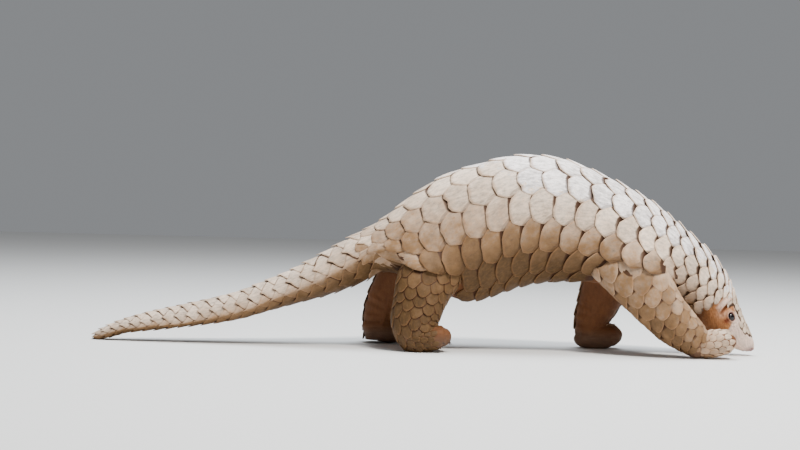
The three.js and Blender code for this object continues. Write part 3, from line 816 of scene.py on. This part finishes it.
def foreheadCells(look):
    rings = ringPlaces(look["start"], look["end"], look["pitches"])
    return [{**cell, "depth": float(hideDepth(cell["along"])) * 0.6 + 0.5,
             "bakeU": 0.02 + 0.2 * cell["along"] / look["end"]}
            for cell in lattice(rings, look["rows"])
            if abs(cell["row"]) <= between(look["limits"], cell["along"])]


tailScales = {
    "name": "tail_scales", "rows": 8, "start": knots[18] - 12, "end": knots[-1] - 6,
    "tip": 1.45, "width": 0.86, "outline": pointedShield, "bend": 0.8, "notches": 0.2,
    "crown": 0.2, "keel": 1.3, "thick": 0.7, "underWarm": 0.1, "tilt": 0.1,
    "warmth": [(-1, 0.26), (0, 0.2), (1, 0.3), (2, 0.56), (3, 0.8), (4, 0.85), (5, 0.8)],
    "flares": [(0, 0.2), (1, 0.4), (2, 0.6), (3, 0.3), (4, -0.9)],
    "pitches": [(knots[18], 24), (knots[21], 18), (knots[24], 15), (knots[-1], 11)],
    "rowSizes": (32, 8),
}


def tailCells(look):
    start, end = look["start"], look["end"]
    cells = []
    for cell in lattice(ringPlaces(start, end, look["pitches"]), look["rows"]):
        along, row = cell["along"], cell["row"]
        cells.append({
            **cell,
            "depth": float(hideDepth(along)),
            "warm": between(look["warmth"], abs(row)),
            "fade": fadeAcross(look, row),
            "flare": between(look["flares"], abs(row)),
            "side": (row > 0) - (row < 0),
            "rowSize": np.interp(along, (start, end), look["rowSizes"]),
            "bakeU": 0.02 + 0.96 * (along - start) / (end - start),
        })
    return cells


bodyMeshes = [scaleField(bodyCells(bodyScales), slantedBody, bodyScales),
              scaleField(foreheadCells(foreheadScales), bodyPoint, foreheadScales)]
body = finishPiece("body_scales", joined("body_scales", bodyMeshes), horn)
tail = finishPiece("tail_scales", scaleField(tailCells(tailScales), bodyPoint, tailScales), horn)
print("body and tail scales", len(body.data.polygons), len(tail.data.polygons))

legScales = {"name": "leg_scales", "tip": 1.2, "width": 0.68, "outline": roundedHexagon,
             "bend": 4, "sharp": 0.6, "notches": 0.2, "crown": 0.5, "thick": 0.9, "tilt": 0.3,
             "rowSize": 12}
footScales = dict(legScales, width=0.6, sharp=0.2, crown=0.7, thick=0.8)
foreScales = dict(legScales, width=0.74, tip=1.26, sharp=0.4)

# Rows back and front are counted from the outer side. "under" is how far above the flank's edge
# the scales of a leg still show, and "warm" and "pitches" run from the root of the leg down.
legFields = {
    "foreleg_right": {"rows": 10, "under": 42, "start": 2, "end": 2, "pitches": (27, 9.5),
                      "back": 4, "front": 3, "warm": (0.5, 0.78), "lean": -0.16, "sun": 0.06},
    "foreleg_left": {"rows": 10, "under": 24, "start": 2, "end": 6, "pitches": (22, 12),
                     "back": 2, "front": 2, "warm": (0.7, 0.8)},
    "hindleg_right": {"rows": 14, "under": 14, "start": 2, "end": 1, "pitches": (17, 11.5),
                      "back": 4, "front": 4, "warm": (0.8, 1.0)},
    "hindleg_left": {"rows": 14, "under": 14, "start": 2, "end": 1, "pitches": (17, 11.5),
                     "back": 3, "front": 3, "warm": (0.72, 0.86)},
    "forefoot_right": {"rows": 12, "under": 50, "start": 0, "end": 5, "pitches": (10, 9.5),
                       "back": 3, "front": 5, "warm": (0.62, 0.34), "sun": 0.02},
    "forefoot_left": {"rows": 14, "under": 50, "start": 16, "end": 9, "pitches": (9.5, 9),
                      "back": 1, "front": 4, "warm": (0.6, 0.6)},
    "hindfoot_right": {"rows": 14, "under": 50, "start": 14, "end": 20, "pitches": (10, 9),
                       "back": 3, "front": 3, "warm": (1.0, 0.95)},
    "hindfoot_left": {"rows": 14, "under": 50, "start": 34, "end": 24, "pitches": (10, 9),
                      "back": 0, "front": 3, "warm": (0.8, 0.8)},
}

# The lower edge of the flank, and how leg scales duck under it by their height above that edge
flankRow = 4.6
flankLine = bodyPoint(np.linspace(knots[9], knots[20], 120),
                      flankRow / bodyScales["rows"] * fullTurn, 0)[::-1] / mm
# on the forelegs "bare" takes the painted shade off the scales near the flank's edge
underFlank = {"depth": [(6, 0), (16, 3)], "flare": [(-6, 0), (10, -3), (16, -5)],
              "bare": [(-30, 0), (-18, 1)]}


def legCells(name, field, shelf):
    point, length = surfaces[name]
    start, rows = field["start"], field["rows"]
    pitches = [(start, field["pitches"][0]), (length, field["pitches"][1])]
    rings = ringPlaces(start, length - field["end"], pitches)
    cells = []
    for cell in lattice(rings, rows, shelf=shelf, shelves=len(legFields)):
        along, row = cell["along"], cell["row"]
        spot = point(along, row / rows * fullTurn, 0) / mm
        above = spot[2] - np.interp(spot[0], flankLine[:, 0], flankLine[:, 2])
        if above > field["under"] or not -field["back"] <= row <= field["front"]:
            continue
        warm = np.interp(along, (start, length), field["warm"])
        cells.append({
            **cell,
            "depth": 2.0 + between(underFlank["depth"], above),
            "flare": between(underFlank["flare"], above),
            "bare": between(underFlank["bare"], above) * ("foreleg" in name),
            "side": -1 if "fore" in name else 0,
            "warm": warm - field.get("sun", 0) * row,
            "lean": field.get("lean", 0),
            "bakeU": 0.02 + 0.96 * along / length,
        })
    return cells


legMeshes = []
for shelf, (name, field) in enumerate(legFields.items()):
    look = footScales if "foot" in name else foreScales if "fore" in name else legScales
    legMeshes.append(scaleField(legCells(name, field, shelf), surfaces[name][0], look))
legs = finishPiece("leg_scales", joined("leg_scales", legMeshes), horn)
print("leg scales", len(legs.data.polygons))


# The hide under the scales
def tubeMesh(name, surface, alongs, sides):  # a closed tube that remembers its own places
    work = bmesh.new()
    bmesh.ops.create_grid(work, x_segments=len(alongs) - 1, y_segments=sides, size=1)
    mesh = bpy.data.meshes.new(name)
    work.to_mesh(mesh)
    grid = places(mesh)
    along = np.interp((grid[:, 0] + 1) / 2 * (len(alongs) - 1), range(len(alongs)), alongs)
    angle = grid[:, 1] * math.pi
    alongLayer = work.verts.layers.float.new("along")
    turnLayer = work.verts.layers.float.new("turn")
    for vert, point, reach, turn in zip(work.verts, surface(along, angle), along, angle):
        vert.co = point
        vert[alongLayer], vert[turnLayer] = reach, turn
    bmesh.ops.remove_doubles(work, verts=work.verts, dist=1e-5)
    bmesh.ops.holes_fill(work, edges=[edge for edge in work.edges if edge.is_boundary], sides=0)
    bmesh.ops.recalc_face_normals(work, faces=work.faces)
    work.to_mesh(mesh)
    work.free()
    return mesh


def ballMesh(centre, halves):
    work = bmesh.new()
    bmesh.ops.create_uvsphere(work, u_segments=24, v_segments=14, radius=mm)
    bmesh.ops.scale(work, vec=halves, verts=work.verts)
    bmesh.ops.translate(work, vec=Vector(centre) * mm, verts=work.verts)
    return meshFrom(work, "ball")


# Face: "arc" turns an angle into millimetres, and each fold has a height, a place and a width
head = {"end": knots[7] + 14, "steps": 190, "sides": 200, "fade": 14, "tuck": 1.6,
        "brow": [(alongHead(12), 0), (alongHead(20), 0.9), (alongHead(70), 0.9),
                 (alongHead(80), 0)], "browEnd": math.radians(56),
        "throat": {"height": 3.2, "spread": 0.55, "along": alongHead(56), "length": 17},
        "jaw": {"height": 1.1, "along": alongHead(65), "angle": math.radians(78), "half": (5.5, 5),
                "arc": 22}}
eyes = {"along": alongHead(56.2), "angle": math.radians(72), "half": (6.1, 3.9), "radius": 6.2,
        "sink": 4.6, "arc": 22, "socket": 4.4, "edge": 0.74,
        "folds": ((1.3, 1.22, 0.2), (-0.7, 1.72, 0.2), (0.5, 2.15, 0.25))}
mouth = {"path": [(30, 128), (18, 130), (9, 135), (5, 155), (4.4, 180)], "arc": 14,
         "folds": ((-1.2, 0, 0.7), (0.7, 1.6, 0.9))}
nostril = {"along": alongHead(3), "angle": math.radians(78), "radius": 1.7, "arc": 8,
           "depth": 2.2, "rim": (0.5, 1.5, 0.4)}
ear = {"from": math.radians(40), "to": math.radians(99), "along": alongHead(74.5),
       "arch": alongHead(2.5), "sweep": alongHead(3), "height": 3.8, "lip": 1.3, "slope": 4.2,
       "cup": 3.0, "cupAt": 4.4, "cupWidth": 2.3}
wrinkles = {"share": [(alongHead(10), 0), (alongHead(30), 0.35), (alongHead(50), 1),
                      (head["end"] - 10, 1), (head["end"], 0)],
            "coarse": (0.55, 260, 0), "fine": (0.3, 520, 5), "from": math.radians(50)}


def ripple(distance, width):
    return np.exp(-(distance / width) ** 2)


def foldsOf(distance, folds):
    return [height * ripple(distance - place, width) for height, place, width in folds]


def eyeDistance(along, side):  # 1 on the outline of the open lids
    return np.hypot((along - eyes["along"]) / eyes["half"][0],
                    (side - eyes["angle"]) * eyes["arc"] / eyes["half"][1])


def earLine(side):  # where the ear's rim runs, and how far each place belongs to the ear
    sweep = np.clip((side - ear["from"]) / (ear["to"] - ear["from"]), 0, 1)
    line = ear["along"] + ear["arch"] * np.sin(sweep * math.pi) - ear["sweep"] * sweep
    return line, np.sin(sweep * math.pi) ** 0.6


def nearPath(path, along, across, arc):
    best = np.full(along.shape, np.inf)
    points = [(alongHead(a), math.radians(b) * arc) for a, b in path]
    for (x0, y0), (x1, y1) in zip(points, points[1:]):
        span = (x1 - x0) ** 2 + (y1 - y0) ** 2
        t = np.clip(((along - x0) * (x1 - x0) + (across * arc - y0) * (y1 - y0)) / span, 0, 1)
        best = np.minimum(best, np.hypot(along - x0 - t * (x1 - x0),
                                         across * arc - y0 - t * (y1 - y0)))
    return best


def lumps(along, angle, height, fine, offset):  # soft seeded unevenness
    spots = bodyPoint(along, angle, 0).reshape(-1, 3) * fine + offset
    return height * np.array([noiseKit.noise(spot) for spot in spots]).reshape(along.shape)


def faceRelief(along, angle):  # how far the face stands out from the body's plain shape
    side = np.abs(angle)
    lids = eyeDistance(along, side)
    opened = np.clip((lids - eyes["edge"]) / (1 - eyes["edge"]), 0, 1)
    relief = -eyes["socket"] * (1 - opened ** 2 * (3 - 2 * opened))
    for fold in foldsOf(lids, eyes["folds"]):
        relief += fold
    rimLine, onEar = earLine(side)
    back = along - rimLine
    rim = ripple(back, np.where(back > 0, ear["slope"], ear["lip"]))
    cup = ripple(back + ear["cupAt"], ear["cupWidth"])
    relief += onEar * (ear["height"] * rim - ear["cup"] * cup)
    for fold in foldsOf(nearPath(mouth["path"], along, side, mouth["arc"]), mouth["folds"]):
        relief += fold
    hole = np.hypot(along - nostril["along"], (side - nostril["angle"]) * nostril["arc"])
    hole = hole / nostril["radius"]
    relief += -nostril["depth"] * np.clip(1.15 - hole, 0, 1) + foldsOf(hole, [nostril["rim"]])[0]
    bare = between(wrinkles["share"], along) * np.clip((lids - 1.4) / 0.8, 0, 1)
    low = np.clip((side - wrinkles["from"]) / 0.3, 0, 1)
    relief += (lumps(along, angle, *wrinkles["coarse"])
               + lumps(along, angle, *wrinkles["fine"])) * bare * low
    jaw, throat = head["jaw"], head["throat"]
    relief += jaw["height"] * ripple(np.hypot(
        (along - jaw["along"]) / jaw["half"][0],
        (side - jaw["angle"]) * jaw["arc"] / jaw["half"][1]), 1)
    relief += (throat["height"] * ripple(side - math.pi, throat["spread"])
               * ripple(along - throat["along"], throat["length"]))
    brow = between(head["brow"], along)
    return relief - brow * np.clip((head["browEnd"] - side) / 0.25, 0, 1)


def headSurface(along, angle):
    tuck = between([(head["end"] - head["fade"], 0), (head["end"], head["tuck"])], along)
    lift = -hideDepth(along) + faceRelief(along, angle) - tuck
    return bodyPoint(along, angle, lift)


# Voxel and depths in millimetres; "kept" is the share of its triangles that the fused skin keeps
hidePlan = {"voxel": 1.7, "quick": 2, "smooth": 4, "kept": 0.38, "sides": 72, "steps": 150,
            "legSides": 48, "legSteps": 60, "under": 0.4, "bellyFrom": math.radians(150),
            "hollow": [(knots[7], 0.4), (knots[8], 2.4), (knots[10], 2.4), (knots[12], 0.6),
                       (knots[18], 0.4)]}
creases = {"leg": (2.6, 0.9), "foot": (1.0, 0.5), "from": 0.45, "over": 0.3, "pitch": (0.62, 1.3),
           "wander": 1.4}


def torsoSurface(along, angle):
    scaled = np.clip((hidePlan["bellyFrom"] - np.abs(angle)) / 0.3, 0, 1)
    return bodyPoint(along, angle, -hideDepth(along) - hidePlan["under"]
                     - between(hidePlan["hollow"], along) * scaled)


def creased(point, length, sink, height):  # skin folds toward the foot
    coarse, fine = creases["pitch"]

    def surface(along, angle):
        low = np.clip((along / length - creases["from"]) / creases["over"], 0, 1)
        wave = np.sin(along * coarse + creases["wander"] * np.sin(angle * 1.5))
        wave = wave + 0.5 * np.sin(along * fine + angle * 3)
        return point(along, angle, -sink + height * wave * low)

    return surface


# Toes from their root: the claw points along the heading and bends by the drop
toePlans = {
    "fore": {"root": (387, 57, 24), "curve": 5, "spread": 13, "heading": (-0.62, 0, -0.78),
             "fan": 0, "drop": -4, "toe": 6, "padAlong": 0.35, "padShift": (0, 0, 0),
             "pad": (6.875, 4.4, 5.5), "taper": 0.45, "claw": (12, 9), "clawRadius": (0.8, 3.4)},
    "hind": {"root": (19, 57, 23), "curve": 8, "spread": 17, "heading": (1, 0, -0.45),
             "fan": 0.2, "drop": 6, "toe": 9, "padAlong": 0, "padShift": (7, 0, -4),
             "pad": (9, 5.6, 11.5), "taper": 0, "claw": (9, 0), "clawRadius": (3.2, 0)},
}
clawPlan = {"count": 5, "steps": 22, "sides": 16, "grain": (0.2, 1, 1)}
wristPad = {"at": (346, 57, 12), "halves": (16.5, 13.5, 12)}


def barSurface(root, heading, drop, radiusAt, reach):
    ahead = Vector(heading).normalized()
    side = ahead.cross(Vector((0, 0, 1))).normalized()
    up = side.cross(ahead)

    def surface(along, angle):
        t = along[:, None] / reach
        centre = np.array(root) + np.array(ahead) * along[:, None]
        centre = centre - np.array([0, 0, drop]) * t ** 2
        size = radiusAt(t)
        return (centre + np.array(side) * np.sin(angle)[:, None] * size
                + np.array(up) * np.cos(angle)[:, None] * size) * mm

    return surface


def onFoot(foot, place):
    return tuple((at + shift) * (foot["sign"] if axis == 1 else 1)
                 for axis, (at, shift) in enumerate(zip(place, foot["shift"])))


def toeAndClaw(foot, plan, spread):
    x, y, z = onFoot(foot, plan["root"])
    root = (x - plan["curve"] * spread ** 2, y + spread * plan["spread"], z)
    heading = (plan["heading"][0], plan["fan"] * spread, plan["heading"][2])
    size = 1 - plan["taper"] * abs(spread)
    length = plan["claw"][0] + plan["claw"][1] * size
    radius = plan["clawRadius"][1] * size + plan["clawRadius"][0]
    reach = plan["toe"] + length
    ahead = Vector(heading).normalized() * plan["toe"] * plan["padAlong"]
    pad = ballMesh(Vector(root) + ahead + Vector(plan["padShift"]), plan["pad"])

    def radiusAt(t):
        point = np.clip(1 - ((t - 0.2) / 0.8), 0.02, 1) ** 0.7
        return radius * point * np.minimum(1, 0.7 + t * 1.5)

    claw = tubeMesh("claw", barSurface(root, heading, plan["drop"], radiusAt, reach),
                    np.linspace(0, reach, clawPlan["steps"]), clawPlan["sides"])
    tips = places(claw) / mm - np.array(root)
    setValues(claw, "rim", np.clip(np.linalg.norm(tips, axis=1) / reach, 0, 1))
    setValues(claw, "grain", tips * clawPlan["grain"], "FLOAT_VECTOR")
    return pad, claw


headMesh = tubeMesh("head", headSurface, np.linspace(0, head["end"], head["steps"]),
                    head["sides"])
fleshMeshes = [tubeMesh("torso", torsoSurface, np.linspace(knots[7], knots[-1], hidePlan["steps"]),
                        hidePlan["sides"])]
for name, (point, length) in surfaces.items():
    end = length - 8 if "hindfoot" in name else length
    skin = creased(point, length, *creases["leg" if "leg" in name else "foot"])
    fleshMeshes.append(tubeMesh(name, skin, np.linspace(0, end, hidePlan["legSteps"]),
                                hidePlan["legSides"]))
clawMeshes = []
for name, foot in feet.items():
    if foot["fore"]:
        x, y, _ = onFoot(foot, wristPad["at"])
        fleshMeshes.append(ballMesh((x, y, wristPad["at"][2]), wristPad["halves"]))
    for spread in np.linspace(-1, 1, clawPlan["count"]):
        pad, claw = toeAndClaw(foot, toePlans["fore" if foot["fore"] else "hind"], spread)
        fleshMeshes.append(pad)
        clawMeshes.append(claw)


def onFloor(mesh, level=0.0):
    points = places(mesh)
    points[:, 2] = np.maximum(points[:, 2], level)
    mesh.vertices.foreach_set("co", points.ravel().astype(np.float32))
    mesh.update()


def fused(meshes, plan):  # one skin round everything
    rough = added("rough", joined("rough", meshes))
    remesh = rough.modifiers.new("skin", "REMESH")
    remesh.mode = "VOXEL"
    remesh.voxel_size = plan["voxel"] * 1 * mm
    soft = rough.modifiers.new("soft", "SMOOTH")
    soft.factor = 0.5
    soft.iterations = plan["smooth"]
    thin = rough.modifiers.new("thin", "DECIMATE")
    thin.ratio = plan["kept"]
    shown = rough.evaluated_get(bpy.context.evaluated_depsgraph_get())
    mesh = bpy.data.meshes.new_from_object(shown)
    bpy.data.objects.remove(rough)
    return mesh


def paint(mesh, amounts, strand):
    for name in hidePatches:
        setValues(mesh, name, np.clip(amounts.get(name, 0) * np.ones(len(mesh.vertices)), 0, 1))
    setValues(mesh, "strand", strand, "FLOAT_VECTOR")


# Where the colours of the hide change, in millimetres and degrees
fleshPaint = {"toesBelow": 26, "scaledOver": 92, "pawsBelow": 30,
              "pawStrand": (0.06, 0.06, 0.5), "bodyStrand": (0.25, 0.25, 0.12)}
headPaint = {
    "snoutEdge": [(24, 180), (36, 150), (42, 111), (46, 93), (50.8, 72), (60.5, 49), (67, 44),
                  (72, 38)],
    "cheek": [(95, 1), (120, 0.75), (150, 0.3), (180, 0.1)],
    "blush": ((67, 6), (88, 16)), "corner": ((55.4, 3.8), (92, 11)),
    "lids": 1.04, "strand": (0.12, 0.55),
}


def paintFlesh(mesh, plan):
    points = places(mesh) / mm
    z = points[:, 2]
    paws = z[:, None] < plan["pawsBelow"]
    # painted shade: hide higher than scaledOver, which lies under the scales, goes near black
    paint(mesh, {"toe": np.clip((plan["toesBelow"] - z) / 12, 0, 1),
                 "between": np.clip((z - plan["scaledOver"]) / 20, 0, 1)},
          points * np.where(paws, plan["pawStrand"], plan["bodyStrand"]))


def paintHead(mesh, plan):
    along, turn = valuesOf(mesh, "along"), np.abs(valuesOf(mesh, "turn"))
    distance, side = along / knots[7] * headLength, np.degrees(turn)

    def patch(place):  # 1 in the middle of a soft round patch
        (ahead, length), (around, width) = place
        return ripple(np.hypot((distance - ahead) / length, (side - around) / width), 1)

    lids = eyeDistance(along, turn)
    inEye = lids <= plan["lids"]
    rimLine, onEar = earLine(turn)
    back = along - rimLine
    snout = np.clip((between(plan["snoutEdge"], distance) - side) / 12 + 0.5, 0, 1)
    earRim = onEar * np.clip((back + 1.8) / 1.2, 0, 1) * np.clip((8 - back) / 4, 0, 1)
    lid = ripple(lids - 1.16, 0.1)
    blush = np.maximum(0.75 * patch(plan["blush"]), 0.45 * ripple(lids - 1.6, 0.35))
    hollow = onEar * ripple(back + 4.6, 2.6)
    # painted shade: near-black hide under the scales of the head
    inScales = np.clip((distance - 73 - side * 0.13) / 4, 0, 1)
    # painted shade on the lower sides of the snout's tip
    muzzle = np.clip((10 - distance) / 9, 0, 1) * np.clip((side - 40) / 40, 0, 0.9)
    cheek = (between(plan["cheek"], side) - np.clip((distance - 66) / 34, 0, 0.6)
             - hollow * 0.35)
    amounts = {
        "snout": np.maximum(snout, np.maximum(earRim * 0.85, lid * 0.75)) * ~inEye,
        "muzzle": np.maximum(muzzle, 0.9 * inEye),
        "cheek": cheek * (1 - inScales),
        "blush": blush * (1 - hollow),
        "corner": np.maximum(patch(plan["corner"]) * 1.1 * (lids > 1), hollow * 0.6),
        "between": inScales,
    }
    lengthwise, around = plan["strand"]
    width = bodyAt(along)[:, 4]
    paint(mesh, amounts, np.stack([along * lengthwise, turn * width * around, along * 0], -1))


fleshMesh = fused(fleshMeshes, hidePlan)
paintHead(headMesh, headPaint)
paintFlesh(fleshMesh, fleshPaint)
hideMesh = joined("hide", [headMesh, fleshMesh])
onFloor(hideMesh)
flesh = finishPiece("hide", hideMesh, hide, [
    "head", "neck", "torso", "tail_base", "tail_middle", "tail_tip", "foreleg_right",
    "foreleg_left", "hindleg_right", "hindleg_left", "forefoot_right", "forefoot_left",
    "hindfoot_right", "hindfoot_left", "ear_right", "ear_left"])
print("hide", len(flesh.data.polygons))

clawMesh = joined("claws", clawMeshes)
onFloor(clawMesh, floorGap)
claws = finishPiece("claws", clawMesh, clawHorn)
for side, sign in (("right", -1), ("left", 1)):
    seat = bodyPoint(eyes["along"], eyes["angle"] * sign,
                     -hideDepth(eyes["along"]) - eyes["sink"]) / mm
    finishPiece("eyeball_" + side, ballMesh(seat, (eyes["radius"],) * 3), wetEye,
                ["eye_" + side])
print("claws and eyes", len(claws.data.polygons))


# Floor, light and camera
stage = {"half": 6.0, "floor": colour(0.78, 0.77, 0.75), "world": colour(0.86, 0.89, 0.93),
         "worldPower": 0.29, "roughness": 0.85}


def buildStage():
    work = bmesh.new()
    bmesh.ops.create_grid(work, x_segments=1, y_segments=1, size=stage["half"])
    mesh = meshFrom(work, "floor")
    material = newMaterial("pale floor", {
        "Roughness": stage["roughness"], "Base Color": stage["floor"]})[0]
    mesh.materials.append(material)
    floor = added("floor", mesh)
    world = bpy.data.worlds.new("studio")
    world.use_nodes = True
    sky = world.node_tree.nodes["Background"]
    sky.inputs["Color"].default_value = stage["world"]
    sky.inputs["Strength"].default_value = stage["worldPower"]
    bpy.context.scene.world = world


aim = (0, 0, 0.12)
lights = {
    "key": {"at": (0.9, -1.0, 2.2), "size": 0.45, "power": 90, "tint": (1, 0.975, 0.94)},
    "fill": {"at": (0.7, -2.2, 0.6), "size": 0.4, "power": 6, "tint": (1, 0.97, 0.93)},
    "top": {"at": (0.2, 0.3, 2.4), "size": 1.6, "power": 96, "tint": (0.86, 0.93, 1)},
}


def addLights():
    for name, spec in lights.items():
        lamp = bpy.data.lights.new(name, "AREA")
        lamp.size = spec["size"]
        lamp.energy = spec["power"]
        lamp.color = spec["tint"]
        holder = added(name, lamp)
        holder.location = spec["at"]
        toward = Vector(aim) - Vector(spec["at"])
        holder.rotation_euler = toward.to_track_quat("-Z", "Y").to_euler()


view = {"at": (-0.0339, -1.99985, 0.1828), "pitch": 0.7, "roll": 1.44, "lens": 69.2,
        "sensor": 36}


def addCamera():
    lens = bpy.data.cameras.new("view")
    lens.lens = view["lens"]
    lens.sensor_width = view["sensor"]
    camera = added("view", lens)
    pitch, roll = math.radians(view["pitch"]), math.radians(view["roll"])
    forward = Vector((0, math.cos(pitch), -math.sin(pitch)))
    level = Vector((0, math.sin(pitch), math.cos(pitch)))
    right = Vector((1, 0, 0)) * math.cos(roll) + level * math.sin(roll)
    up = level * math.cos(roll) - Vector((1, 0, 0)) * math.sin(roll)
    turned = Matrix((right, up, -forward)).transposed().to_4x4()
    camera.matrix_world = Matrix.Translation(view["at"]) @ turned
    bpy.context.scene.camera = camera


buildStage()
addLights()
addCamera()
print("stage ready")
